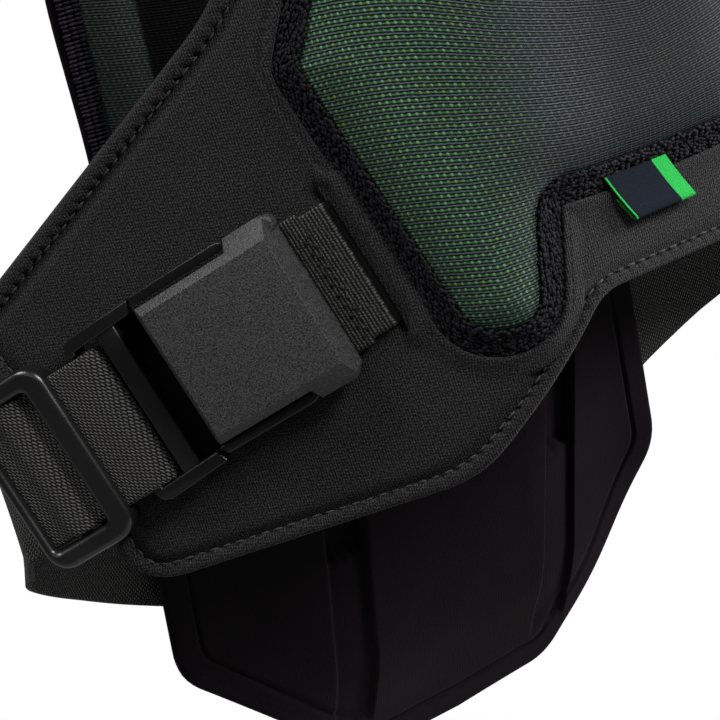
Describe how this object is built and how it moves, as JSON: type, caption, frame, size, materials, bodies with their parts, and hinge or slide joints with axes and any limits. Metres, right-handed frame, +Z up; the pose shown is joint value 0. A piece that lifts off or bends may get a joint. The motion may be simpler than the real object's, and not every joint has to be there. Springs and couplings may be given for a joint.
{
  "type": "roost deflector",
  "caption": "Slim soft-carrier chest and back protector with a raised mesh chest pad, lumbar tail, shoulder straps and elastic side straps on square snap buckles",
  "frame": {"origin": "midway between the two shoulder straps, at the height where they lie on the shoulders", "axes": "+Z up along the wearer's body, +Y towards the wearer's back, +X towards the wearer's left"},
  "size_m": [0.348, 0.1565, 0.5066],
  "materials": {
    "carrier_fabric": "matt charcoal knit over foam",
    "pad_mesh": "black warp-knit mesh with green showing through",
    "overlock_thread": "dense black sewing thread",
    "label_cloth": "plain navy cloth with a green end",
    "strap_webbing": "ribbed black elastic webbing",
    "buckle_plastic": "fine-grained black",
    "adjuster_plastic": "smooth black"
  },
  "bodies": {
    "root": {"front_panel": "carrier_fabric", "front_pad": "pad_mesh", "front_pad_seam": "overlock_thread", "label": "label_cloth", "back_panel": "carrier_fabric", "back_pad": "pad_mesh", "back_pad_seam": "overlock_thread", "shoulder_strap_right": "carrier_fabric", "side_strap_right": "strap_webbing", "buckle_tab_right": "strap_webbing", "buckle_plate_right": "buckle_plastic", "buckle_frame_right": "buckle_plastic", "strap_adjuster_right": "adjuster_plastic", "shoulder_strap_left": "carrier_fabric", "side_strap_left": "strap_webbing", "buckle_tab_left": "strap_webbing", "buckle_plate_left": "buckle_plastic", "buckle_frame_left": "buckle_plastic", "strap_adjuster_left": "adjuster_plastic"}
  },
  "joints": []
}
